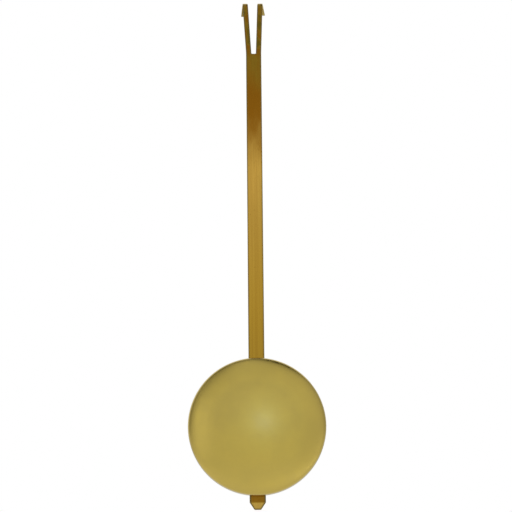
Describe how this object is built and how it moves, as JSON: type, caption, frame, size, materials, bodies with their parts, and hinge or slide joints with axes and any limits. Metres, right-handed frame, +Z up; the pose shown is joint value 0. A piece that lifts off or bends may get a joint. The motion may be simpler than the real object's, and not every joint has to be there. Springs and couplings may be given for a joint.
{
  "type": "clock pendulum",
  "caption": "Small wall-clock pendulum: flat brass stick with a forked double hook and a pointed tail, and a round domed bob that slides on the stick by friction.",
  "frame": {"origin": "on the axis of the cross pin that the hooks hang on, in the middle of the stick's width", "axes": "+Z up along the hanging stick, -Y out of the bob's face towards the viewer, +X to the viewer's right"},
  "size_m": [0.06, 0.0132, 0.2354],
  "materials": {
    "stick_brass": "rolled strip, lightly brushed along its length and browned towards the fork",
    "bob_brass": "satin lacquered brass, softly reflective",
    "weight_iron": "rough as cast",
    "cover_brass": "plain rolled sheet",
    "strap_brass": "plain rolled sheet with sheared edges",
    "spring_steel": "hardened and brushed",
    "rivet_brass": "set heads, slightly bright"
  },
  "bodies": {
    "stick": {"pendulum_stick": "stick_brass"},
    "bob": {"bob_face_shell": "bob_brass", "bob_weight": "weight_iron", "bob_back_cover": "cover_brass", "upper_guide_strap": "strap_brass", "lower_guide_strap": "strap_brass", "friction_spring": "spring_steel", "upper_left_strap_rivet": "rivet_brass", "upper_right_strap_rivet": "rivet_brass", "lower_left_strap_rivet": "rivet_brass", "lower_right_strap_rivet": "rivet_brass"}
  },
  "joints": [
    {"name": "bob_slide", "type": "slide", "parent": "stick", "child": "bob", "axis": [0, 0, 1], "range_m": [-0.013, 0.15]}
  ]
}
